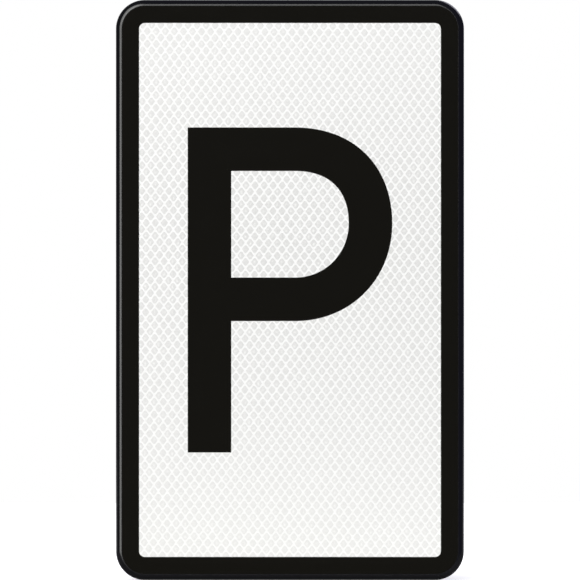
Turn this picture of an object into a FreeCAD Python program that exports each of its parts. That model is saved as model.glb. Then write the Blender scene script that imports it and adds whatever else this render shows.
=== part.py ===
import FreeCAD
import Part
import os

# Parking sign: an aluminium panel whose rim is folded twice, faced with reflective
# sheeting that carries a black border and a black letter P.
#
# Millimetres. X runs to the reader's right, Y from the face to the back and Z up.
# The origin is on the sign's lowest line, midway across it and midway through it.

# Panel
PANEL_WIDTH = 300.0
PANEL_HEIGHT = 500.0
CORNER_RADIUS = 25.0
SHEET_THICKNESS = 2.0
RIM_DEPTH = 22.0
LIP_WIDTH = 12.0
BEND_INNER_RADIUS = 3.0

# Drain holes through the lower rim, which would hold water behind its lip
DRAIN_HOLE_DIAMETER = 6.0
DRAIN_HOLE_SPACING = 200.0

# Films on the face
SHEETING_THICKNESS = 0.4
MARKING_THICKNESS = 0.1
FILM_SETBACK = 0.3
BORDER_WIDTH = 20.0
FIELD_CORNER_RADIUS = 5.0

# Letter, centred on the panel
LETTER_WIDTH = 176.2
LETTER_HEIGHT = 280.0
STROKE_WIDTH = 37.5
BOWL_HEIGHT = 166.8
BAR_LENGTH = 92.5
BOWL_WAIST_RISE = 0.8

# How full the bowl's upper and lower halves are, outside and round the counter: the
# reach of a curve's handles along the bar and up the side, as shares of the quarter
# that it rounds. A circle's quarter has 0.552 for both.
BOWL_FULLNESS = ((0.606, 0.600), (0.571, 0.570))
COUNTER_FULLNESS = ((0.628, 0.648), (0.564, 0.552))

# Worked out from the sizes above
BEND_OUTER_RADIUS = BEND_INNER_RADIUS + SHEET_THICKNESS
FILM_INSET = BEND_OUTER_RADIUS + FILM_SETBACK
TOTAL_DEPTH = RIM_DEPTH + SHEETING_THICKNESS + MARKING_THICKNESS
PANEL_BACK = TOTAL_DEPTH / 2
PANEL_FRONT = PANEL_BACK - RIM_DEPTH
SHEETING_FRONT = PANEL_FRONT - SHEETING_THICKNESS
MARKING_FRONT = SHEETING_FRONT - MARKING_THICKNESS
HOLLOW_FRONT = PANEL_FRONT + SHEET_THICKNESS
HOLLOW_BACK = PANEL_BACK - SHEET_THICKNESS
LETTER_LEFT = -LETTER_WIDTH / 2
LETTER_BOTTOM = (PANEL_HEIGHT - LETTER_HEIGHT) / 2


def outline(inset, back):
    """The panel's outline moved inwards by inset, at depth back, with concentric corners."""
    return rounded_rectangle(inset, CORNER_RADIUS - inset, back)


def rounded_rectangle(inset, radius, back):
    """A closed wire as far inside the panel's four sides as inset says."""
    side = PANEL_WIDTH / 2 - inset
    foot = inset
    head = PANEL_HEIGHT - inset
    turn = radius * (1 - 0.5 ** 0.5)

    def at(across, up):
        return FreeCAD.Vector(across, back, up)

    edges = [
        Part.LineSegment(at(-side + radius, foot), at(side - radius, foot)),
        Part.Arc(at(side - radius, foot), at(side - turn, foot + turn), at(side, foot + radius)),
        Part.LineSegment(at(side, foot + radius), at(side, head - radius)),
        Part.Arc(at(side, head - radius), at(side - turn, head - turn), at(side - radius, head)),
        Part.LineSegment(at(side - radius, head), at(-side + radius, head)),
        Part.Arc(at(-side + radius, head), at(-side + turn, head - turn), at(-side, head - radius)),
        Part.LineSegment(at(-side, head - radius), at(-side, foot + radius)),
        Part.Arc(at(-side, foot + radius), at(-side + turn, foot + turn), at(-side + radius, foot)),
    ]
    return Part.Wire([edge.toShape() for edge in edges])


def slab(wire, back):
    """The solid between a flat wire and the depth back, behind it."""
    front = wire.BoundBox.YMin
    return Part.Face(wire).extrude(FreeCAD.Vector(0, back - front, 0))


def round_front_and_back(solid, radius):
    """The solid with the edges round its front face and its back face rounded."""
    box = solid.BoundBox
    rims = [
        edge
        for edge in solid.Edges
        if edge.BoundBox.YLength < radius / 2
        and (edge.BoundBox.YMin < box.YMin + radius / 2 or edge.BoundBox.YMax > box.YMax - radius / 2)
    ]
    return solid.makeFillet(radius, rims)


def sign_panel():
    """The sheet, folded back round its whole edge and then inwards into a lip."""
    blank = slab(outline(0, PANEL_FRONT), PANEL_BACK)
    hollow = slab(outline(SHEET_THICKNESS, HOLLOW_FRONT), HOLLOW_BACK)
    mouth = slab(outline(LIP_WIDTH, HOLLOW_FRONT + SHEET_THICKNESS), PANEL_BACK + SHEET_THICKNESS)
    panel = round_front_and_back(blank, BEND_OUTER_RADIUS)
    panel = panel.cut(round_front_and_back(hollow, BEND_INNER_RADIUS))
    panel = panel.cut(mouth)
    for side in (-1, 1):
        panel = panel.cut(drain_hole(side * DRAIN_HOLE_SPACING / 2))
    return panel


def drain_hole(across):
    """A cutter through the lower rim, midway between the face and the lip."""
    foot = FreeCAD.Vector(across, (HOLLOW_FRONT + HOLLOW_BACK) / 2, -SHEET_THICKNESS)
    up = FreeCAD.Vector(0, 0, 1)
    return Part.makeCylinder(DRAIN_HOLE_DIAMETER / 2, 3 * SHEET_THICKNESS, foot, up)


def reflective_sheeting():
    """The white sheeting, which covers the flat of the face."""
    return slab(outline(FILM_INSET, SHEETING_FRONT), PANEL_FRONT)


def border_film():
    """The black border, from the sheeting's edge to the white field."""
    field = rounded_rectangle(BORDER_WIDTH, FIELD_CORNER_RADIUS, MARKING_FRONT)
    return slab(outline(FILM_INSET, MARKING_FRONT), SHEETING_FRONT).cut(slab(field, SHEETING_FRONT))


def quarter_curve(bar_end, side, fullness):
    """A quarter of the bowl, from the end of a level bar to the upright tangent at its side."""
    along_bar, up_side = fullness
    bar_handle = FreeCAD.Vector(bar_end.x + (side.x - bar_end.x) * along_bar, bar_end.y, bar_end.z)
    side_handle = FreeCAD.Vector(side.x, side.y, side.z + (bar_end.z - side.z) * up_side)
    curve = Part.BezierCurve()
    curve.setPoles([bar_end, bar_handle, side_handle, side])
    return curve.toShape()


def bowl_edges(inset, fullness):
    """The bowl's outline moved inwards by inset: its upper bar, its curve and its lower bar."""
    upper_fullness, lower_fullness = fullness
    left = LETTER_LEFT + STROKE_WIDTH
    right = LETTER_LEFT + LETTER_WIDTH - inset
    bar_end = LETTER_LEFT + BAR_LENGTH
    top = LETTER_BOTTOM + LETTER_HEIGHT - inset
    bottom = LETTER_BOTTOM + LETTER_HEIGHT - BOWL_HEIGHT + inset
    waist = (top + bottom) / 2 + BOWL_WAIST_RISE

    def at(across, up):
        return FreeCAD.Vector(across, MARKING_FRONT, up)

    side = at(right, waist)
    return [
        Part.makeLine(at(left, top), at(bar_end, top)),
        quarter_curve(at(bar_end, top), side, upper_fullness),
        quarter_curve(at(bar_end, bottom), side, lower_fullness),
        Part.makeLine(at(bar_end, bottom), at(left, bottom)),
    ]


def letter_film():
    """The black letter P: an upright stem with a bowl, and the counter cut out of the bowl."""
    def at(across, up):
        return FreeCAD.Vector(across, MARKING_FRONT, up)

    left = LETTER_LEFT
    right = left + STROKE_WIDTH
    foot = LETTER_BOTTOM
    head = foot + LETTER_HEIGHT
    bowl_bottom = head - BOWL_HEIGHT
    stem = [
        Part.makeLine(at(right, bowl_bottom), at(right, foot)),
        Part.makeLine(at(right, foot), at(left, foot)),
        Part.makeLine(at(left, foot), at(left, head)),
        Part.makeLine(at(left, head), at(right, head)),
    ]
    counter_side = Part.makeLine(
        at(right, bowl_bottom + STROKE_WIDTH),
        at(right, head - STROKE_WIDTH),
    )
    outside = Part.Wire(Part.__sortEdges__(bowl_edges(0, BOWL_FULLNESS) + stem))
    counter = Part.Wire(Part.__sortEdges__(bowl_edges(STROKE_WIDTH, COUNTER_FULLNESS) + [counter_side]))
    return slab(outside, SHEETING_FRONT).cut(slab(counter, SHEETING_FRONT))


SUB_PARTS = {
    "sign_panel": sign_panel,
    "reflective_sheeting": reflective_sheeting,
    "border_film": border_film,
    "letter_film": letter_film,
}


def main():
    """Writes one STEP file for each sub-part."""
    os.makedirs("parts", exist_ok=True)
    for name, make in SUB_PARTS.items():
        shape = make()
        shape.exportStep(os.path.join("parts", name + ".step"))
        print(f"{name}: {len(shape.Solids)} solid, {shape.Volume:.0f} mm3, valid {shape.isValid()}")


main()
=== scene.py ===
"""The parking sign's looks: a folded panel, cell-patterned white sheeting and two black films.

Metres throughout. X runs to the reader's right, Y from the face to the back and Z up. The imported
model gives each piece its place, and the sizes that it doesn't state are fields of the classes.
"""

import logging
import math
from dataclasses import dataclass, field
from enum import Enum
from typing import Callable

import bpy
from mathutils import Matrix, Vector


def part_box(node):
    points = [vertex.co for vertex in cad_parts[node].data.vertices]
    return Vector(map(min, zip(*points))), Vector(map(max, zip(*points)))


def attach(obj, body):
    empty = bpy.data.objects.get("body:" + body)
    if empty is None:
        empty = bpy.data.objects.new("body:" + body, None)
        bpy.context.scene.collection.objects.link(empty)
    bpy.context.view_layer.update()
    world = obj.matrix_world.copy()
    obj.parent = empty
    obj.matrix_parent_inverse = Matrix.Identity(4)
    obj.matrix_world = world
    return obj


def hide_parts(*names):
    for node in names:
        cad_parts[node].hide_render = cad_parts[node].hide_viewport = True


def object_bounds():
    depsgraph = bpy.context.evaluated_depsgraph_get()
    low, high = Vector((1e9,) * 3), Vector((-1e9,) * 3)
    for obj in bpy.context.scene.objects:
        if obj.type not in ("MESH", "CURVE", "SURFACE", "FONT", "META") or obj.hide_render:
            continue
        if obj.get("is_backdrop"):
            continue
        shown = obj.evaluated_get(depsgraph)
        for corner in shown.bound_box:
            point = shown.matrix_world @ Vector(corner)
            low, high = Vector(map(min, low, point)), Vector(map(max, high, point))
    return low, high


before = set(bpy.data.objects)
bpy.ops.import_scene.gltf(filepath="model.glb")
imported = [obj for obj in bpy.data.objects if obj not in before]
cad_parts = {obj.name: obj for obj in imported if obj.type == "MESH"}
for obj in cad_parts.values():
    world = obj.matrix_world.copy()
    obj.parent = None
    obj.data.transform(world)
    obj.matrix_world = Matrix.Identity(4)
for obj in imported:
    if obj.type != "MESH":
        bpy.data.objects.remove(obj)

MM = 0.001
BODY = "root"

# The middle of a noise's values, which most of a surface has
CLOUD_SPAN = (0.3, 0.7)

# A face whose normal has at least this much along Y faces forwards or back
FACING = 0.999

# Places closer together than this are taken as one
NEAR = 0.01 * MM

# Faces that meet at less than this shade as one surface
SMOOTH_BELOW = math.radians(30)

log = logging.getLogger("parking_sign")


class Slot(Enum):
    """The record's material slots."""

    PANEL = "coated_panel"
    SHEETING = "white_sheeting"
    FILM = "black_film"


def linear(hex_colour: str) -> tuple[float, float, float, float]:
    """Turns an sRGB hex colour to linear light.

    Args:
        hex_colour: Six hex digits after a hash.

    Returns:
        Red, green and blue in linear light, and an alpha of one.
    """
    channels = []
    for start in (1, 3, 5):
        value = int(hex_colour[start:start + 2], 16) / 255
        channels.append(value / 12.92 if value <= 0.04045 else ((value + 0.055) / 1.055) ** 2.4)
    return channels[0], channels[1], channels[2], 1.0


def add_node(
    tree: bpy.types.NodeTree,
    kind: str,
    settings: dict[str, object] | None = None,
    inputs: dict[str | int, object] | None = None,
) -> bpy.types.Node:
    """Adds a node with its settings and links.

    Args:
        tree: The node tree that gets the node.
        kind: The node's type.
        settings: The node's own properties, by name.
        inputs: For each input, by name or number, the socket that feeds it or its value.

    Returns:
        The new node.
    """
    node = tree.nodes.new(kind)
    for name, value in (settings or {}).items():
        setattr(node, name, value)
    for key, value in (inputs or {}).items():
        if isinstance(value, bpy.types.NodeSocket):
            tree.links.new(value, node.inputs[key])
        else:
            node.inputs[key].default_value = value
    return node


def new_material(name: str) -> tuple[bpy.types.Material, bpy.types.NodeTree]:
    """Makes a material with an empty node tree.

    Args:
        name: The material's name.

    Returns:
        The material and its node tree.
    """
    material = bpy.data.materials.new(name)
    material.use_nodes = True
    material.node_tree.nodes.clear()
    return material, material.node_tree


def uneven_roughness(
    tree: bpy.types.NodeTree,
    place: bpy.types.NodeSocket,
    pitch: float,
    roughness: tuple[float, float],
) -> bpy.types.NodeSocket:
    """Adds nodes for a gloss that is a little clearer in some patches than in others.

    Args:
        tree: The material's node tree.
        place: The place on the piece.
        pitch: How far apart the patches are.
        roughness: The clearest patches' roughness and the dullest ones'.

    Returns:
        The roughness.
    """
    cloud = add_node(
        tree, "ShaderNodeTexNoise", inputs={"Vector": place, "Scale": 1 / pitch, "Detail": 3.0}
    )
    low, high = CLOUD_SPAN
    clearest, dullest = roughness
    level = add_node(
        tree,
        "ShaderNodeMapRange",
        inputs={
            "Value": cloud.outputs["Fac"],
            "From Min": low,
            "From Max": high,
            "To Min": clearest,
            "To Max": dullest,
        },
    )
    return level.outputs["Result"]


def deselect_all() -> None:
    """Leaves no object selected, so that an operator acts on the next one alone."""
    bpy.ops.object.select_all(action="DESELECT")


def activate(piece: bpy.types.Object) -> None:
    """Makes one object the only one selected, and the active one.

    Args:
        piece: The object.
    """
    deselect_all()
    piece.select_set(True)
    bpy.context.view_layer.objects.active = piece


def select_points(piece: bpy.types.Object, wanted: Callable[[Vector], bool]) -> None:
    """Selects vertices by place, from inside edit mode and back into it.

    Args:
        piece: The object in edit mode.
        wanted: Says of a vertex's place whether the vertex is wanted.
    """
    bpy.ops.mesh.select_mode(type="VERT")
    bpy.ops.mesh.select_all(action="DESELECT")
    bpy.ops.object.mode_set(mode="OBJECT")
    place = piece.matrix_world
    for vertex in piece.data.vertices:
        vertex.select = wanted(place @ vertex.co)
    bpy.ops.object.mode_set(mode="EDIT")


def select_edges(piece: bpy.types.Object, wanted: Callable[[Vector, Vector], bool]) -> None:
    """Selects edges by place, from inside edit mode and back into it.

    Args:
        piece: The object in edit mode.
        wanted: Says of an edge's two ends whether the edge is wanted.
    """
    bpy.ops.mesh.select_mode(type="EDGE")
    bpy.ops.mesh.select_all(action="DESELECT")
    bpy.ops.object.mode_set(mode="OBJECT")
    mesh = piece.data
    place = piece.matrix_world
    for edge in mesh.edges:
        first, second = (place @ mesh.vertices[i].co for i in edge.vertices)
        edge.select = wanted(first, second)
    bpy.ops.object.mode_set(mode="EDIT")


def select_faces(piece: bpy.types.Object, wanted: Callable[[Vector, Vector], bool]) -> None:
    """Selects faces by centre and normal, from inside edit mode and back into it.

    Args:
        piece: The object in edit mode.
        wanted: Says of a face's centre and normal whether the face is wanted.
    """
    bpy.ops.mesh.select_mode(type="FACE")
    bpy.ops.mesh.select_all(action="DESELECT")
    bpy.ops.object.mode_set(mode="OBJECT")
    place = piece.matrix_world
    turn = place.to_3x3()
    for face in piece.data.polygons:
        face.select = wanted(place @ face.center, turn @ face.normal)
    bpy.ops.object.mode_set(mode="EDIT")


def apply_modifier(piece: bpy.types.Object, kind: str, settings: dict[str, object]) -> None:
    """Adds a modifier to an object and applies it.

    Args:
        piece: The object, in object mode.
        kind: The modifier's type.
        settings: The modifier's properties, by name.
    """
    activate(piece)
    bpy.ops.object.modifier_add(type=kind)
    modifier = piece.modifiers[-1]
    for name, value in settings.items():
        setattr(modifier, name, value)
    bpy.ops.object.modifier_apply(modifier=modifier.name)


def finish_piece(piece: bpy.types.Object, name: str, slot: Slot, replaced: str) -> None:
    """Puts a piece's place into its mesh and hands the piece to the frame.

    Args:
        piece: The modelled object.
        name: The piece's name.
        slot: The record's material slot, which is named in the log.
        replaced: The node that it stands for.
    """
    piece.name = name
    piece.data.name = name
    activate(piece)
    bpy.ops.object.transform_apply(location=True, rotation=True, scale=True)
    bpy.ops.object.shade_smooth_by_angle(angle=SMOOTH_BELOW)
    apply_modifier(piece, "WEIGHTED_NORMAL", {"keep_sharp": True, "weight": 100})
    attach(piece, BODY)
    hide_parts(replaced)
    log.info("%s: %d faces, %s", name, len(piece.data.polygons), slot.value)


def rounded_rectangle(
    name: str, low: Vector, high: Vector, depth: float, radius: float, segments: int
) -> bpy.types.Object:
    """Adds a flat plate's front face, a plane whose four corners are rounded.

    Args:
        name: The new object's name.
        low: The lowest corner of the box that the plane fills across and up.
        high: The highest corner of that box.
        depth: The plane's place along Y. It faces forwards.
        radius: The radius of its corners.
        segments: How many straight pieces a corner has.

    Returns:
        The plane, in object mode.
    """
    deselect_all()
    centre = ((low.x + high.x) / 2, depth, (low.z + high.z) / 2)
    bpy.ops.mesh.primitive_plane_add(size=1, location=centre, rotation=(math.radians(90), 0, 0))
    plane = bpy.context.active_object
    plane.name = name
    bpy.ops.object.mode_set(mode="EDIT")
    bpy.ops.transform.resize(value=(high.x - low.x, 1, high.z - low.z))
    bpy.ops.mesh.bevel(offset=radius, segments=segments, affect="VERTICES")
    bpy.ops.object.mode_set(mode="OBJECT")
    return plane


@dataclass(frozen=True)
class PowderCoat:
    """Black polyester powder baked on aluminium: an even semi-gloss skin with a faint orange peel."""

    colour: str = "#0f0f12"
    roughness: tuple[float, float] = (0.13, 0.17)
    cloud_pitch: float = 18 * MM
    specular_level: float = 0.335
    ior: float = 1.5
    peel_pitch: float = 1.8 * MM
    peel_depth: float = 0.0015 * MM

    def material(self) -> bpy.types.Material:
        """Makes the material. The peel is a low swell and not a grain, so its highlights stay whole.

        Returns:
            The material.
        """
        material, tree = new_material("black_powder_coat")
        place = add_node(tree, "ShaderNodeTexCoord")
        gloss = uneven_roughness(tree, place.outputs["Object"], self.cloud_pitch, self.roughness)
        swell = add_node(
            tree,
            "ShaderNodeTexNoise",
            inputs={"Vector": place.outputs["Object"], "Scale": 1 / self.peel_pitch, "Detail": 1.0},
        )
        peel = add_node(
            tree,
            "ShaderNodeBump",
            inputs={"Height": swell.outputs["Fac"], "Distance": self.peel_depth, "Strength": 1.0},
        )
        coat = add_node(
            tree,
            "ShaderNodeBsdfPrincipled",
            inputs={
                "Base Color": linear(self.colour),
                "Roughness": gloss,
                "IOR": self.ior,
                "Specular IOR Level": self.specular_level,
                "Normal": peel.outputs["Normal"],
            },
        )
        add_node(tree, "ShaderNodeOutputMaterial", inputs={"Surface": coat.outputs["BSDF"]})
        return material


@dataclass(frozen=True)
class CellLattice:
    """The lattice of diamond cells in the sheeting: upright diamonds, laid a little out of true."""

    width: float = 7.80 * MM
    height: float = 11.01 * MM
    row_tilt: float = math.radians(0.44)
    column_tilt: float = math.radians(0.32)
    offset_across: float = 0.60 * MM
    offset_up: float = 1.82 * MM
    line_width: float = 1.15 * MM

    def across_columns(self) -> Vector:
        """The direction square to the columns, which lean to the reader's right."""
        return Vector((math.cos(self.column_tilt), 0, -math.sin(self.column_tilt)))

    def across_rows(self) -> Vector:
        """The direction square to the rows, which dip to the reader's right."""
        return Vector((math.sin(self.row_tilt), 0, math.cos(self.row_tilt)))

    def row_step(self) -> Vector:
        """The step from a cell to the one above it, seen along the rows."""
        return Vector((self.height * math.tan(self.column_tilt - self.row_tilt), 0, self.height))

    def cell_coordinates(self, tree: bpy.types.NodeTree, centre: Vector) -> bpy.types.NodeSocket:
        """Adds nodes that count cells along the lattice's two diagonals.

        Args:
            tree: The material's node tree.
            centre: The centre of one cell.

        Returns:
            A vector whose X and Y are whole numbers at the cells' centres and halves on their lines.
        """
        place = add_node(tree, "ShaderNodeTexCoord")
        from_centre = add_node(
            tree,
            "ShaderNodeVectorMath",
            {"operation": "SUBTRACT"},
            {0: place.outputs["Object"], 1: centre},
        )
        counts = []
        for sign in (1, -1):
            diagonal = self.across_columns() / self.width + sign * self.across_rows() / self.height
            count = add_node(
                tree,
                "ShaderNodeVectorMath",
                {"operation": "DOT_PRODUCT"},
                {0: from_centre.outputs["Vector"], 1: diagonal},
            )
            counts.append(count.outputs["Value"])
        both = add_node(tree, "ShaderNodeCombineXYZ", inputs={"X": counts[0], "Y": counts[1]})
        return both.outputs["Vector"]


@dataclass(frozen=True)
class SealedLine:
    """The lines where the sheeting's acrylic front is sealed to its backing: white, a little uneven."""

    colour: str = "#fbfbf9"
    uneven_colour: str = "#f4f4f1"
    uneven_pitch: float = 2.2 * MM
    uneven_span: tuple[float, float] = (0.42, 0.72)
    roughness: float = 0.22
    ior: float = 1.49

    def material(self) -> bpy.types.Material:
        """Makes the material.

        Returns:
            The material, whose white drifts a little along the lines.
        """
        material, tree = new_material("sealed_acrylic_line")
        place = add_node(tree, "ShaderNodeTexCoord")
        uneven = add_node(
            tree,
            "ShaderNodeTexNoise",
            inputs={"Vector": place.outputs["Object"], "Scale": 1 / self.uneven_pitch, "Detail": 2.0},
        )
        low, high = self.uneven_span
        share = add_node(
            tree,
            "ShaderNodeMapRange",
            inputs={"Value": uneven.outputs["Fac"], "From Min": low, "From Max": high},
        )
        tone = add_node(
            tree,
            "ShaderNodeMix",
            {"data_type": "RGBA"},
            {
                "Factor": share.outputs["Result"],
                "A": linear(self.colour),
                "B": linear(self.uneven_colour),
            },
        )
        acrylic = add_node(
            tree,
            "ShaderNodeBsdfPrincipled",
            inputs={
                "Base Color": tone.outputs["Result"],
                "Roughness": self.roughness,
                "IOR": self.ior,
            },
        )
        add_node(tree, "ShaderNodeOutputMaterial", inputs={"Surface": acrylic.outputs["BSDF"]})
        return material


@dataclass(frozen=True)
class PrismCell:
    """Moulded acrylic prisms over a white back: greyer than the lines, and paler mid-cell.

    Prisms send light back where it comes from. Here the cells are painted darkest about one point
    of the face and paler towards its far corners: painted light and shade, standing for how the
    light falls. A prism is a tenth of a millimetre across and too fine to show, so their mottle is
    drawn coarser.
    """

    rim_colour: str = "#e5e5e2"
    heart_colour: str = "#fafaf7"
    shade_colour: str = "#dbdbd8"
    roughness: float = 0.2
    ior: float = 1.49
    facet_pitch: float = 1.9 * MM
    facet_span: tuple[float, float] = (0.35, 0.7)
    heart_radius: float = 0.3
    heart_stray: float = 0.16
    bright_span: tuple[float, float] = (0.2, 0.8)
    # Painted light and shade: the cells are painted darkest about this point and paler away from it
    painted_shade_centre: tuple[float, float] = (20 * MM, 300 * MM)
    painted_gradient_narrowing: float = 0.5
    painted_gradient_reach: tuple[float, float] = (20 * MM, 270 * MM)
    painted_gradient_most: float = 0.40

    def material(self, lattice: CellLattice, centre: Vector) -> bpy.types.Material:
        """Makes the material.

        Args:
            lattice: The lattice that the cells follow.
            centre: The centre of one cell.

        Returns:
            The material, whose tone changes from cell to cell and inside each, with painted light and shade
            across the face.
        """
        material, tree = new_material("moulded_acrylic_prisms")
        counted = lattice.cell_coordinates(tree, centre)
        shifted = add_node(
            tree, "ShaderNodeVectorMath", {"operation": "ADD"}, {0: counted, 1: (0.5, 0.5, 0)}
        )
        floored = add_node(
            tree, "ShaderNodeVectorMath", {"operation": "FLOOR"}, {0: shifted.outputs["Vector"]}
        )
        number = floored.outputs["Vector"]
        chance = add_node(
            tree, "ShaderNodeTexWhiteNoise", {"noise_dimensions": "3D"}, {"Vector": number}
        )
        inside = add_node(
            tree, "ShaderNodeVectorMath", {"operation": "SUBTRACT"}, {0: counted, 1: number}
        )
        level = add_node(
            tree,
            "ShaderNodeVectorMath",
            {"operation": "SUBTRACT"},
            {0: chance.outputs["Color"], 1: (0.5, 0.5, 0.5)},
        )
        stray = add_node(
            tree,
            "ShaderNodeVectorMath",
            {"operation": "MULTIPLY_ADD"},
            {
                0: level.outputs["Vector"],
                1: (self.heart_stray, self.heart_stray, 0),
                2: inside.outputs["Vector"],
            },
        )
        reach = add_node(
            tree, "ShaderNodeVectorMath", {"operation": "LENGTH"}, {0: stray.outputs["Vector"]}
        )
        heart = add_node(
            tree,
            "ShaderNodeMapRange",
            {"interpolation_type": "SMOOTHSTEP"},
            {
                "Value": reach.outputs["Value"],
                "From Min": 0.0,
                "From Max": self.heart_radius,
                "To Min": 1.0,
                "To Max": 0.0,
            },
        )
        low, high = self.bright_span
        bright = add_node(
            tree,
            "ShaderNodeMapRange",
            inputs={"Value": chance.outputs["Value"], "From Min": low, "From Max": high},
        )
        place = add_node(tree, "ShaderNodeTexCoord")
        facets = add_node(
            tree,
            "ShaderNodeTexNoise",
            inputs={"Vector": place.outputs["Object"], "Scale": 1 / self.facet_pitch, "Detail": 2.0},
        )
        heart_share = add_node(
            tree,
            "ShaderNodeMath",
            {"operation": "MULTIPLY"},
            {0: heart.outputs["Result"], 1: bright.outputs["Result"]},
        )
        body = add_node(
            tree,
            "ShaderNodeMix",
            {"data_type": "RGBA"},
            {
                "Factor": heart_share.outputs["Value"],
                "A": linear(self.rim_colour),
                "B": linear(self.heart_colour),
            },
        )
        low, high = self.facet_span
        facet_share = add_node(
            tree,
            "ShaderNodeMapRange",
            inputs={"Value": facets.outputs["Fac"], "From Min": low, "From Max": high},
        )
        tone = add_node(
            tree,
            "ShaderNodeMix",
            {"data_type": "RGBA"},
            {
                "Factor": facet_share.outputs["Result"],
                "A": body.outputs["Result"],
                "B": linear(self.shade_colour),
            },
        )
        # Painted light and shade across the face: the cells are painted paler the further they lie from one
        # point
        across, up = self.painted_shade_centre
        from_painted_shade_centre = add_node(
            tree,
            "ShaderNodeVectorMath",
            {"operation": "SUBTRACT"},
            {0: place.outputs["Object"], 1: (across, centre.y, up)},
        )
        narrowed = add_node(
            tree,
            "ShaderNodeVectorMath",
            {"operation": "MULTIPLY"},
            {0: from_painted_shade_centre.outputs["Vector"], 1: (self.painted_gradient_narrowing, 1, 1)},
        )
        apart = add_node(
            tree, "ShaderNodeVectorMath", {"operation": "LENGTH"}, {0: narrowed.outputs["Vector"]}
        )
        near, far = self.painted_gradient_reach
        painted_gradient = add_node(
            tree,
            "ShaderNodeMapRange",
            inputs={
                "Value": apart.outputs["Value"],
                "From Min": near,
                "From Max": far,
                "To Min": 0.0,
                "To Max": self.painted_gradient_most,
            },
        )
        painted_gradient_tone = add_node(
            tree,
            "ShaderNodeMix",
            {"data_type": "RGBA"},
            {
                "Factor": painted_gradient.outputs["Result"],
                "A": tone.outputs["Result"],
                "B": linear(self.heart_colour),
            },
        )
        acrylic = add_node(
            tree,
            "ShaderNodeBsdfPrincipled",
            inputs={
                "Base Color": painted_gradient_tone.outputs["Result"],
                "Roughness": self.roughness,
                "IOR": self.ior,
            },
        )
        add_node(tree, "ShaderNodeOutputMaterial", inputs={"Surface": acrylic.outputs["BSDF"]})
        return material


@dataclass(frozen=True)
class BlackFilm:
    """Cast black acrylic film, cut and laid on the sheeting: deep warm black with a weak, smooth gloss."""

    colour: str = "#14130f"
    roughness: tuple[float, float] = (0.045, 0.075)
    cloud_pitch: float = 25 * MM
    specular_level: float = 0.12
    ior: float = 1.48

    # The sag's width is a share of a cell, and the swell's height a share of the sag's
    sag_width: float = 0.16
    sag_depth: float = 0.004 * MM
    swell_pitch: float = 9 * MM
    swell_share: float = 0.4

    def material(self, lattice: CellLattice, centre: Vector) -> bpy.types.Material:
        """Makes the material. The film sags a hair over the sealed lines, and the gloss shows it.

        Args:
            lattice: The lattice of the sheeting under the film.
            centre: The centre of one of its cells.

        Returns:
            The material.
        """
        material, tree = new_material("cast_black_film")
        counted = lattice.cell_coordinates(tree, centre)
        wrapped = add_node(
            tree,
            "ShaderNodeVectorMath",
            {"operation": "WRAP"},
            {0: counted, 1: (0.5, 0.5, 0.5), 2: (-0.5, -0.5, -0.5)},
        )
        off_centre = add_node(
            tree, "ShaderNodeVectorMath", {"operation": "ABSOLUTE"}, {0: wrapped.outputs["Vector"]}
        )
        parts = add_node(tree, "ShaderNodeSeparateXYZ", inputs={0: off_centre.outputs["Vector"]})
        nearest = add_node(
            tree, "ShaderNodeMath", {"operation": "MAXIMUM"}, {0: parts.outputs["X"], 1: parts.outputs["Y"]}
        )
        sag = add_node(
            tree,
            "ShaderNodeMapRange",
            {"interpolation_type": "SMOOTHSTEP"},
            {
                "Value": nearest.outputs["Value"],
                "From Min": 0.5 - self.sag_width,
                "From Max": 0.5,
                "To Min": 1.0,
                "To Max": 0.0,
            },
        )
        place = add_node(tree, "ShaderNodeTexCoord")
        gloss = uneven_roughness(tree, place.outputs["Object"], self.cloud_pitch, self.roughness)
        swell = add_node(
            tree,
            "ShaderNodeTexNoise",
            inputs={"Vector": place.outputs["Object"], "Scale": 1 / self.swell_pitch, "Detail": 1.0},
        )
        height = add_node(
            tree,
            "ShaderNodeMath",
            {"operation": "MULTIPLY_ADD"},
            {0: swell.outputs["Fac"], 1: self.swell_share, 2: sag.outputs["Result"]},
        )
        lay = add_node(
            tree,
            "ShaderNodeBump",
            inputs={"Height": height.outputs["Value"], "Distance": self.sag_depth, "Strength": 1.0},
        )
        film = add_node(
            tree,
            "ShaderNodeBsdfPrincipled",
            inputs={
                "Base Color": linear(self.colour),
                "Roughness": gloss,
                "IOR": self.ior,
                "Specular IOR Level": self.specular_level,
                "Normal": lay.outputs["Normal"],
            },
        )
        add_node(tree, "ShaderNodeOutputMaterial", inputs={"Surface": film.outputs["BSDF"]})
        return material


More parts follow.
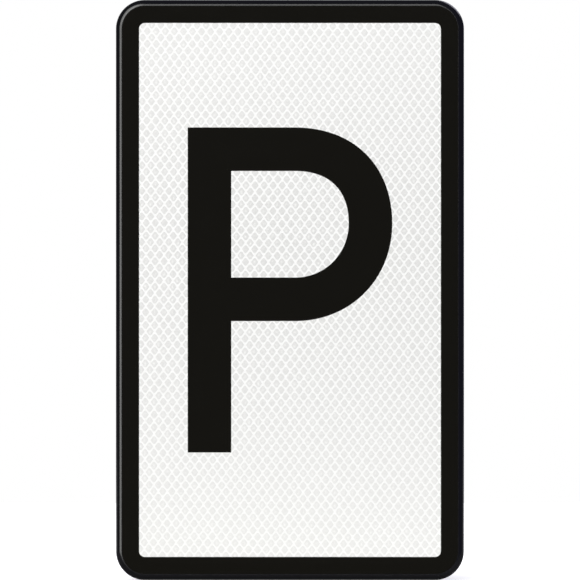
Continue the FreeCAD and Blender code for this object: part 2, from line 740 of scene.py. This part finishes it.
@dataclass
class FoldedPanel:
    """The aluminium panel: one sheet, folded back round its edge and then inwards into a lip."""

    corner_radius: float = 25 * MM
    sheet: float = 2 * MM
    bend_radius: float = 5 * MM
    lip_width: float = 12 * MM
    edge_break: float = 0.3 * MM
    drain_diameter: float = 6 * MM
    drain_spacing: float = 200 * MM
    drain_segments: int = 40
    corner_segments: int = 24
    bend_segments: int = 10
    finish: PowderCoat = field(default_factory=PowderCoat)

    def build(self) -> None:
        """Models the panel in its node's place, and dresses it."""
        low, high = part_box("sign_panel")
        panel = self.folded_sheet(low, high)
        for side in (-1, 1):
            self.drill(panel, side * self.drain_spacing / 2, (low.y + high.y) / 2)
        panel.data.materials.append(self.finish.material())
        finish_piece(panel, "folded_panel", Slot.PANEL, "sign_panel")

    def folded_sheet(self, low: Vector, high: Vector) -> bpy.types.Object:
        """Shapes a block into the folded sheet.

        Args:
            low: The node's lowest corner.
            high: The node's highest corner.

        Returns:
            The sheet, two bends deep, without its drain holes.
        """
        deselect_all()
        bpy.ops.mesh.primitive_cube_add(size=1, location=(low + high) / 2)
        panel = bpy.context.active_object
        bpy.ops.object.mode_set(mode="EDIT")
        bpy.ops.transform.resize(value=high - low)
        select_edges(panel, lambda a, b: abs(a.y - b.y) > NEAR)
        bpy.ops.mesh.bevel(offset=self.corner_radius, segments=self.corner_segments, affect="EDGES")
        select_edges(panel, lambda a, b: abs(a.y - b.y) < NEAR)
        bpy.ops.mesh.bevel(offset=self.bend_radius, segments=self.bend_segments, affect="EDGES")
        select_faces(panel, lambda centre, normal: normal.y > FACING and centre.y > high.y - NEAR)
        bpy.ops.mesh.inset(thickness=self.lip_width - self.bend_radius)
        bpy.ops.mesh.delete(type="FACE")
        bpy.ops.object.mode_set(mode="OBJECT")
        apply_modifier(
            panel,
            "SOLIDIFY",
            {"thickness": self.sheet, "offset": -1, "use_even_offset": True, "use_quality_normals": True},
        )
        activate(panel)
        bpy.ops.object.mode_set(mode="EDIT")
        inner = self.lip_width - NEAR
        select_edges(
            panel,
            lambda a, b: abs(a.y - b.y) < NEAR
            and self.is_within(a, low, high, inner)
            and self.is_within(b, low, high, inner),
        )
        bpy.ops.mesh.bevel(offset=self.edge_break, segments=2, affect="EDGES")
        bpy.ops.object.mode_set(mode="OBJECT")
        return panel

    @staticmethod
    def is_within(point: Vector, low: Vector, high: Vector, inset: float) -> bool:
        """Says whether a point is further in than inset from the panel's four sides.

        Args:
            point: The point.
            low: The panel's lowest corner.
            high: The panel's highest corner.
            inset: The distance from each side. Just under the lip's width, only the free edge is within.

        Returns:
            True within.
        """
        across = low.x + inset < point.x < high.x - inset
        up = low.z + inset < point.z < high.z - inset
        return across and up

    def drill(self, panel: bpy.types.Object, across: float, depth: float) -> None:
        """Cuts one drain hole through the lower rim.

        Args:
            panel: The folded sheet.
            across: The hole's place along X.
            depth: Its place along Y.
        """
        deselect_all()
        bpy.ops.mesh.primitive_cylinder_add(
            vertices=self.drain_segments,
            radius=self.drain_diameter / 2,
            depth=4 * self.sheet,
            location=(across, depth, self.sheet / 2),
        )
        cutter = bpy.context.active_object
        apply_modifier(panel, "BOOLEAN", {"object": cutter, "operation": "DIFFERENCE", "solver": "EXACT"})
        bpy.data.objects.remove(cutter, do_unlink=True)


@dataclass
class Sheeting:
    """The reflective sheeting: a thin acrylic plate whose cells stand a hair above its sealed lines."""

    corner_radius: float = 19.7 * MM
    corner_segments: int = 24
    margin: float = 3 * MM
    relief: float = 0.05 * MM

    # How far the cells' feet are sunk into the plate, so that the two overlap
    sunk: float = 0.02 * MM
    cell_slope: float = 0.22 * MM
    sharp_corner: float = 2.2 * MM
    sharp_segments: int = 3
    blunt_corner: float = 0.35 * MM
    blunt_segments: int = 2
    cells_across: int = 35
    cells_up: int = 43
    lattice: CellLattice = field(default_factory=CellLattice)
    line_finish: SealedLine = field(default_factory=SealedLine)
    cell_finish: PrismCell = field(default_factory=PrismCell)

    def build(self) -> None:
        """Models the plate and its cells, joins them and dresses them."""
        low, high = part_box("reflective_sheeting")
        centre = self.lattice_centre()
        line = self.line_finish.material()
        prisms = self.cell_finish.material(self.lattice, centre)
        plate = self.plate(low, high, [line, prisms])
        fields = [
            self.cell_field(centre, self.cells_across, self.cells_up, prisms),
            self.cell_field(centre, self.cells_across - 1, self.cells_up - 1, prisms),
        ]
        deselect_all()
        for cells in fields:
            cells.select_set(True)
        plate.select_set(True)
        bpy.context.view_layer.objects.active = plate
        bpy.ops.object.join()
        finish_piece(plate, "white_sheeting", Slot.SHEETING, "reflective_sheeting")

    def lattice_centre(self) -> Vector:
        """Finds where the lattice is centred.

        Returns:
            The centre of the sheeting's middle cell, on its front.
        """
        low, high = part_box("reflective_sheeting")
        middle = (low + high) / 2
        return Vector((middle.x + self.lattice.offset_across, low.y, middle.z + self.lattice.offset_up))

    def plate(
        self, low: Vector, high: Vector, materials: list[bpy.types.Material]
    ) -> bpy.types.Object:
        """Adds the plate that the cells stand on: the sealed lines, in a flat margin at full height.

        Args:
            low: The node's lowest corner.
            high: The node's highest corner.
            materials: The sheeting's materials, of which the plate shows the first.

        Returns:
            The plate.
        """
        plate = rounded_rectangle("plate", low, high, low.y, self.corner_radius, self.corner_segments)
        apply_modifier(plate, "SOLIDIFY", {"thickness": high.y - low.y, "offset": -1})
        activate(plate)
        bpy.ops.object.mode_set(mode="EDIT")
        select_faces(plate, lambda centre, normal: normal.y < -FACING)
        bpy.ops.mesh.inset(thickness=self.margin)
        bpy.ops.transform.translate(value=(0, self.relief, 0))
        bpy.ops.object.mode_set(mode="OBJECT")
        for material in materials:
            plate.data.materials.append(material)
        return plate

    def cell_field(
        self, centre: Vector, across: int, up: int, material: bpy.types.Material
    ) -> bpy.types.Object:
        """Models one cell and repeats it in rows and columns about the lattice's centre.

        Args:
            centre: The centre of the field, on the cells' front.
            across: How many cells a row has.
            up: How many rows there are.
            material: The cells' material.

        Returns:
            The cells as one object.
        """
        lattice = self.lattice
        deselect_all()
        steps = Vector((lattice.width, 0, 0)), lattice.row_step()
        start = -(steps[0] * (across - 1) + steps[1] * (up - 1)) / 2
        bpy.ops.mesh.primitive_circle_add(
            vertices=4, radius=1, fill_type="NGON", rotation=(math.radians(90), 0, 0)
        )
        cells = bpy.context.active_object
        side = math.hypot(lattice.width, lattice.height)
        half_across = lattice.width / 2 - lattice.line_width / 2 * side / lattice.height
        half_up = lattice.height / 2 - lattice.line_width / 2 * side / lattice.width
        depth = self.relief + self.sunk
        bpy.ops.object.transform_apply(location=True, rotation=True, scale=True)
        bpy.ops.object.mode_set(mode="EDIT")
        bpy.ops.transform.resize(value=(half_across, 1, half_up))
        bpy.ops.transform.translate(value=(start.x, depth, start.z))
        select_points(cells, lambda point: abs(point.z - start.z) > half_up - NEAR)
        bpy.ops.mesh.bevel(offset=self.sharp_corner, segments=self.sharp_segments, affect="VERTICES")
        select_points(cells, lambda point: abs(point.x - start.x) > half_across - NEAR)
        bpy.ops.mesh.bevel(offset=self.blunt_corner, segments=self.blunt_segments, affect="VERTICES")
        bpy.ops.mesh.select_all(action="SELECT")
        bpy.ops.mesh.extrude_region_move(TRANSFORM_OT_translate={"value": (0, -depth, 0)})
        narrowed = (1 - self.cell_slope / half_across, 1, 1 - self.cell_slope / half_up)
        bpy.ops.transform.resize(value=narrowed)
        select_edges(cells, lambda a, b: min(a.y, b.y) > self.relief)
        bpy.ops.mesh.edge_face_add()
        bpy.ops.mesh.select_all(action="SELECT")
        bpy.ops.mesh.normals_make_consistent(inside=False)
        bpy.ops.object.mode_set(mode="OBJECT")
        for count, step in zip((across, up), steps):
            apply_modifier(
                cells,
                "ARRAY",
                {
                    "count": count,
                    "use_relative_offset": False,
                    "use_constant_offset": True,
                    "constant_offset_displace": step,
                },
            )
        cells.data.materials.append(material)
        cells.location = centre
        cells.rotation_euler = (0, lattice.row_tilt, 0)
        return cells


@dataclass
class BorderFilm:
    """The black border: a film from the sheeting's edge to the white field."""

    corner_radius: float = 19.7 * MM
    corner_segments: int = 24
    width: float = 14.7 * MM
    edge_break: float = 0.03 * MM

    def build(self, film: bpy.types.Material) -> None:
        """Models the border.

        Args:
            film: The material that it is dressed in.
        """
        low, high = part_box("border_film")
        border = rounded_rectangle("border", low, high, low.y, self.corner_radius, self.corner_segments)
        activate(border)
        bpy.ops.object.mode_set(mode="EDIT")
        bpy.ops.mesh.select_all(action="SELECT")
        bpy.ops.mesh.inset(thickness=self.width)
        bpy.ops.mesh.delete(type="FACE")
        bpy.ops.object.mode_set(mode="OBJECT")
        apply_modifier(border, "SOLIDIFY", {"thickness": high.y - low.y, "offset": -1})
        apply_modifier(border, "BEVEL", {"width": self.edge_break, "segments": 2, "limit_method": "ANGLE"})
        border.data.materials.append(film)
        finish_piece(border, "black_border", Slot.FILM, "border_film")


@dataclass
class LetterFilm:
    """The black letter P, cut from film: a stem, two level bars and the bowl that joins them."""

    stroke: float = 37.5 * MM
    bowl_height: float = 166.8 * MM
    bar_length: float = 92.5 * MM
    waist_rise: float = 0.8 * MM

    # How far the curves' handles reach, along the bars and up the side, as shares of each quarter
    bowl_fullness: tuple[tuple[float, float], tuple[float, float]] = ((0.606, 0.600), (0.571, 0.570))
    counter_fullness: tuple[tuple[float, float], tuple[float, float]] = ((0.628, 0.648), (0.564, 0.552))

    edge_break: float = 0.03 * MM
    resolution: int = 40
    straight_within: float = math.radians(0.1)
    weld_within: float = 0.001 * MM

    def build(self, film: bpy.types.Material) -> None:
        """Draws the letter as a flat curve and gives it the film's thickness.

        Args:
            film: The material that it is dressed in.
        """
        low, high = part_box("letter_film")
        deselect_all()
        bpy.ops.curve.primitive_bezier_curve_add(location=(0, 0, 0))
        letter = bpy.context.active_object
        curve = letter.data
        curve.splines.clear()
        curve.dimensions = "2D"
        curve.fill_mode = "BOTH"
        curve.resolution_u = self.resolution
        half = (high.y - low.y) / 2
        curve.extrude = half - self.edge_break
        curve.bevel_depth = self.edge_break
        curve.bevel_resolution = 1
        curve.offset = -self.edge_break
        foot = [(low.x + self.stroke, low.z), (low.x, low.z), (low.x, high.z)]
        self.draw(curve, 0, self.bowl_fullness, low, high, foot)
        self.draw(curve, self.stroke, self.counter_fullness, low, high, [])
        letter.rotation_euler = (math.radians(90), 0, 0)
        letter.location = (0, (low.y + high.y) / 2, 0)
        activate(letter)
        bpy.ops.object.convert(target="MESH")
        letter = bpy.context.active_object
        apply_modifier(letter, "WELD", {"merge_threshold": self.weld_within})
        straighten = {"decimate_type": "DISSOLVE", "angle_limit": self.straight_within}
        apply_modifier(letter, "DECIMATE", straighten)
        letter.data.materials.append(film)
        finish_piece(letter, "black_letter", Slot.FILM, "letter_film")

    def draw(
        self,
        curve: bpy.types.Curve,
        inset: float,
        fullness: tuple[tuple[float, float], tuple[float, float]],
        low: Vector,
        high: Vector,
        foot: list[tuple[float, float]],
    ) -> None:
        """Adds one closed outline: the bowl with its bars, and the corners that follow it.

        Args:
            curve: The letter's curve, drawn across and up.
            inset: How far inside the bowl's outer edge the outline runs.
            fullness: For the upper and the lower half, the handles' shares along and up.
            low: The letter's lowest corner.
            high: The letter's highest corner.
            foot: The further corners, as places across and up, going round clockwise.
        """
        left = low.x + self.stroke
        right = high.x - inset
        bar_end = low.x + self.bar_length
        top = high.z - inset
        bottom = high.z - self.bowl_height + inset
        waist = (top + bottom) / 2 + self.waist_rise
        (upper_along, upper_up), (lower_along, lower_up) = fullness
        reach = right - bar_end
        start = [] if foot else [(left, top)]
        # Each None stands for one of the three points that the bowl is rounded through
        corners = start + [None, None, None] + [(left, bottom)] + foot
        spline = curve.splines.new("BEZIER")
        spline.bezier_points.add(len(corners) - 1)
        spline.use_cyclic_u = True
        rounded = [
            ((bar_end, top), (left, top), (bar_end + reach * upper_along, top)),
            (
                (right, waist),
                (right, waist + (top - waist) * upper_up),
                (right, waist + (bottom - waist) * lower_up),
            ),
            ((bar_end, bottom), (bar_end + reach * lower_along, bottom), (left, bottom)),
        ]
        turns = iter(rounded)
        for point, corner in zip(spline.bezier_points, corners):
            place, before, after = next(turns) if corner is None else (corner, corner, corner)
            kind = "FREE" if corner is None else "VECTOR"
            point.handle_left_type = kind
            point.handle_right_type = kind
            point.co = (*place, 0)
            point.handle_left = (*before, 0)
            point.handle_right = (*after, 0)


@dataclass
class SoftBox:
    """A large soft lamp that faces the sign, or stands upright beside it. Its angles are in degrees."""

    name: str
    azimuth: float
    elevation: float
    distance: float
    width: float
    height: float
    radiance: float
    colour: str
    upright: bool = False

    def build(self, target: Vector) -> None:
        """Adds the lamp, on the sign's left for a negative azimuth and behind it past 90 degrees.

        Args:
            target: The point that the lamp faces.
        """
        around = math.radians(self.azimuth)
        above = math.radians(self.elevation)
        level = Vector((math.sin(around), -math.cos(around), 0))
        away = level * math.cos(above) + Vector((0, 0, math.sin(above)))
        lamp = bpy.data.lights.new(self.name, "AREA")
        lamp.shape = "RECTANGLE"
        lamp.size = self.width
        lamp.size_y = self.height
        lamp.energy = self.radiance * math.pi * self.width * self.height
        lamp.color = linear(self.colour)[:3]
        holder = bpy.data.objects.new(self.name, lamp)
        holder.location = target + away * self.distance
        facing = level if self.upright else away
        holder.rotation_euler = facing.to_track_quat("Z", "Y").to_euler()
        holder.visible_camera = False
        bpy.context.collection.objects.link(holder)


@dataclass
class Studio:
    """The pale floor, the lamps, the room behind them and the camera.

    The floor and the room light the sign dimly. The camera sees them white, and so does whatever
    mirrors the part of them that is behind the sign.
    """

    # Where the sign lies in the photo's frame, and how far back from its front it is widest
    photo_pixels: float = 580.0
    sign_top_pixel: float = -0.1
    sign_bottom_pixel: float = 580.0
    sign_middle_pixel: float = 289.97
    outline_depth: float = 5.5 * MM
    lens_mm: float = 800.0
    sensor_mm: float = 36.0

    # The floor, and how far behind the sign a mirrored ray begins to see white and sees it whole
    floor_width: float = 8.0
    floor_front: float = 0.15
    floor_back: float = 4.0
    floor_gap: float = 0.2 * MM
    floor_colour: str = "#b4b4b4"
    floor_seen_colour: str = "#f0f0f0"
    mirrored_from: tuple[float, float] = (0.03, 0.35)

    # The shade under the sign, where the glow is lowered: painted shade that the real shadow shows through.
    # Its reach, the share of it that is darkest, and how white that is
    shade_across: float = 0.22
    shade_front: float = 0.14
    shade_behind: float = 0.6
    shade_core: float = 0.55
    shade_glow: float = 0.5

    # The room's walls, whose colour turns between two directions from the left to the right
    room_colours: tuple[str, str] = ("#909094", "#9a9ac6")
    room_level: float = 0.3
    room_turn: tuple[float, float] = (-0.5, 0.5)
    backdrop_half_angle: float = math.radians(12)
    lamps: tuple[SoftBox, ...] = (
        SoftBox(
            name="key_lamp",
            azimuth=-23.2,
            elevation=20.1,
            distance=12.8,
            width=7.66,
            height=10.9,
            radiance=6.08,
            colour="#fffffc",
            upright=True,
        ),
        SoftBox(
            name="top_lamp",
            azimuth=-5.4,
            elevation=15.6,
            distance=12.0,
            width=4.2,
            height=4.6,
            radiance=4.68,
            colour="#fffffb",
        ),
        SoftBox(
            name="back_lamp",
            azimuth=135,
            elevation=42,
            distance=12.0,
            width=9.0,
            height=8.0,
            radiance=3.0,
            colour="#f4f2ff",
        ),
    )

    def build(self, low: Vector, high: Vector) -> None:
        """Sets the stage around the sign.

        Args:
            low: The sign's lowest corner.
            high: The sign's highest corner.
        """
        bpy.context.scene.view_settings.view_transform = "Standard"
        target = (low + high) / 2
        self.floor(low.z)
        self.room()
        for lamp in self.lamps:
            lamp.build(target)
        self.camera(low, high)

    def floor(self, level: float) -> None:
        """Adds the floor, which shows white wherever the sign doesn't shade it.

        Args:
            level: The sign's lowest point. The floor lies a hair below it, so that no faces coincide.
        """
        deselect_all()
        middle = (self.floor_back - self.floor_front) / 2
        place = (0, middle, level - self.floor_gap)
        bpy.ops.mesh.primitive_plane_add(size=1, location=place)
        floor = bpy.context.active_object
        floor.name = "floor"
        bpy.ops.object.mode_set(mode="EDIT")
        bpy.ops.transform.resize(value=(self.floor_width, self.floor_back + self.floor_front, 1))
        bpy.ops.object.mode_set(mode="OBJECT")
        bpy.ops.object.transform_apply(location=True, rotation=True, scale=True)
        floor.data.materials.append(self.paper())
        floor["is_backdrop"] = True

    def paper(self) -> bpy.types.Material:
        """Makes the floor's paper, which glows white to the camera and less so under the sign, a painted
        shade that lets the real shadow show.

        Returns:
            The material.
        """
        material, tree = new_material("pale_paper_floor")
        place = add_node(tree, "ShaderNodeTexCoord")
        parts = add_node(tree, "ShaderNodeSeparateXYZ", inputs={0: place.outputs["Object"]})
        dim_until, white_from = self.mirrored_from
        behind = add_node(
            tree,
            "ShaderNodeMapRange",
            {"interpolation_type": "SMOOTHSTEP"},
            {"Value": parts.outputs["Y"], "From Min": dim_until, "From Max": white_from},
        )
        seen = self.white_to(tree, behind.outputs["Result"])
        across = add_node(
            tree, "ShaderNodeMath", {"operation": "DIVIDE"}, {0: parts.outputs["X"], 1: self.shade_across}
        )
        ways = []
        for end in (-self.shade_front, self.shade_behind):
            way = add_node(
                tree,
                "ShaderNodeMapRange",
                inputs={"Value": parts.outputs["Y"], "From Min": 0.0, "From Max": end},
            )
            ways.append(way.outputs["Result"])
        along = add_node(tree, "ShaderNodeMath", {"operation": "ADD"}, {0: ways[0], 1: ways[1]})
        shrunk = add_node(
            tree, "ShaderNodeCombineXYZ", inputs={"X": across.outputs["Value"], "Y": along.outputs["Value"]}
        )
        reach = add_node(
            tree, "ShaderNodeVectorMath", {"operation": "LENGTH"}, {0: shrunk.outputs["Vector"]}
        )
        # Painted shade: the glow is lowered under the sign, so that the floor's real shadow shows there
        level_of_glow = add_node(
            tree,
            "ShaderNodeMapRange",
            {"interpolation_type": "SMOOTHSTEP"},
            {
                "Value": reach.outputs["Value"],
                "From Min": self.shade_core,
                "From Max": 1.0,
                "To Min": self.shade_glow,
                "To Max": 1.0,
            },
        )
        rays = add_node(tree, "ShaderNodeLightPath")
        tone = add_node(
            tree,
            "ShaderNodeMix",
            {"data_type": "RGBA"},
            {
                "Factor": rays.outputs["Is Camera Ray"],
                "A": linear(self.floor_colour),
                "B": linear(self.floor_seen_colour),
            },
        )
        paper = add_node(tree, "ShaderNodeBsdfDiffuse", inputs={"Color": tone.outputs["Result"]})
        strength = add_node(
            tree, "ShaderNodeMath", {"operation": "MULTIPLY"}, {0: seen, 1: level_of_glow.outputs["Result"]}
        )
        glow = add_node(tree, "ShaderNodeEmission", inputs={"Strength": strength.outputs["Value"]})
        both = add_node(
            tree, "ShaderNodeAddShader", inputs={0: paper.outputs["BSDF"], 1: glow.outputs["Emission"]}
        )
        add_node(tree, "ShaderNodeOutputMaterial", inputs={"Surface": both.outputs["Shader"]})
        return material

    def white_to(
        self, tree: bpy.types.NodeTree, mirrored_share: bpy.types.NodeSocket
    ) -> bpy.types.NodeSocket:
        """Adds nodes that pick the rays which see plain white: the camera's and mirrored ones.

        Args:
            tree: The node tree.
            mirrored_share: How much of the white a glossy or transmission ray sees.

        Returns:
            One for a camera ray, the share for a mirrored ray and nothing for any other.
        """
        rays = add_node(tree, "ShaderNodeLightPath")
        shiny = add_node(
            tree,
            "ShaderNodeMath",
            {"operation": "MAXIMUM"},
            {0: rays.outputs["Is Glossy Ray"], 1: rays.outputs["Is Transmission Ray"]},
        )
        mirrored = add_node(
            tree,
            "ShaderNodeMath",
            {"operation": "MULTIPLY"},
            {0: shiny.outputs["Value"], 1: mirrored_share},
        )
        seen = add_node(
            tree,
            "ShaderNodeMath",
            {"operation": "MAXIMUM"},
            {0: rays.outputs["Is Camera Ray"], 1: mirrored.outputs["Value"]},
        )
        return seen.outputs["Value"]

    def room(self) -> None:
        """Makes the world: a dim room, with a white backdrop behind the sign."""
        world = bpy.data.worlds.new("studio_room")
        bpy.context.scene.world = world
        world.use_nodes = True
        tree = world.node_tree
        tree.nodes.clear()
        direction = add_node(tree, "ShaderNodeTexCoord")
        parts = add_node(tree, "ShaderNodeSeparateXYZ", inputs={0: direction.outputs["Generated"]})
        edge = math.cos(self.backdrop_half_angle)
        behind = add_node(
            tree, "ShaderNodeMath", {"operation": "GREATER_THAN"}, {0: parts.outputs["Y"], 1: edge}
        )
        white = self.white_to(tree, behind.outputs["Value"])
        low, high = self.room_turn
        sideways = add_node(
            tree,
            "ShaderNodeMapRange",
            inputs={"Value": parts.outputs["X"], "From Min": low, "From Max": high},
        )
        left, right = self.room_colours
        walls = add_node(
            tree,
            "ShaderNodeMix",
            {"data_type": "RGBA"},
            {"Factor": sideways.outputs["Result"], "A": linear(left), "B": linear(right)},
        )
        room = add_node(
            tree,
            "ShaderNodeBackground",
            inputs={"Color": walls.outputs["Result"], "Strength": self.room_level},
        )
        backdrop = add_node(
            tree, "ShaderNodeBackground", inputs={"Color": linear("#ffffff"), "Strength": 1.0}
        )
        both = add_node(
            tree,
            "ShaderNodeMixShader",
            inputs={0: white, 1: room.outputs["Background"], 2: backdrop.outputs["Background"]},
        )
        add_node(tree, "ShaderNodeOutputWorld", inputs={"Surface": both.outputs["Shader"]})

    def camera(self, low: Vector, high: Vector) -> None:
        """Adds the camera square on to the face, far enough off to flatten the view.

        Args:
            low: The sign's lowest corner.
            high: The sign's highest corner.
        """
        pixel = (high.z - low.z) / (self.sign_bottom_pixel - self.sign_top_pixel)
        frame_height = self.photo_pixels * pixel
        outline_depth = low.y + self.outline_depth
        middle = (low + high) / 2
        centre_pixel = self.photo_pixels / 2
        sign_centre_pixel = (self.sign_top_pixel + self.sign_bottom_pixel) / 2
        distance = frame_height * self.lens_mm / self.sensor_mm
        lens = bpy.data.cameras.new("camera")
        lens.lens = self.lens_mm
        lens.sensor_width = self.sensor_mm
        camera = bpy.data.objects.new("camera", lens)
        camera.location = (
            middle.x + (centre_pixel - self.sign_middle_pixel) * pixel,
            outline_depth - distance,
            middle.z - (centre_pixel - sign_centre_pixel) * pixel,
        )
        camera.rotation_euler = (math.radians(90), 0, 0)
        bpy.context.collection.objects.link(camera)
        bpy.context.scene.camera = camera


def main() -> None:
    """Builds the sign's pieces in order, then the studio round them."""
    logging.basicConfig(level=logging.INFO, format="%(message)s")
    model_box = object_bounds()
    sheeting = Sheeting()
    film = BlackFilm().material(sheeting.lattice, sheeting.lattice_centre())
    FoldedPanel().build()
    sheeting.build()
    BorderFilm().build(film)
    LetterFilm().build(film)
    Studio().build(*model_box)


if __name__ == "__main__":
    main()
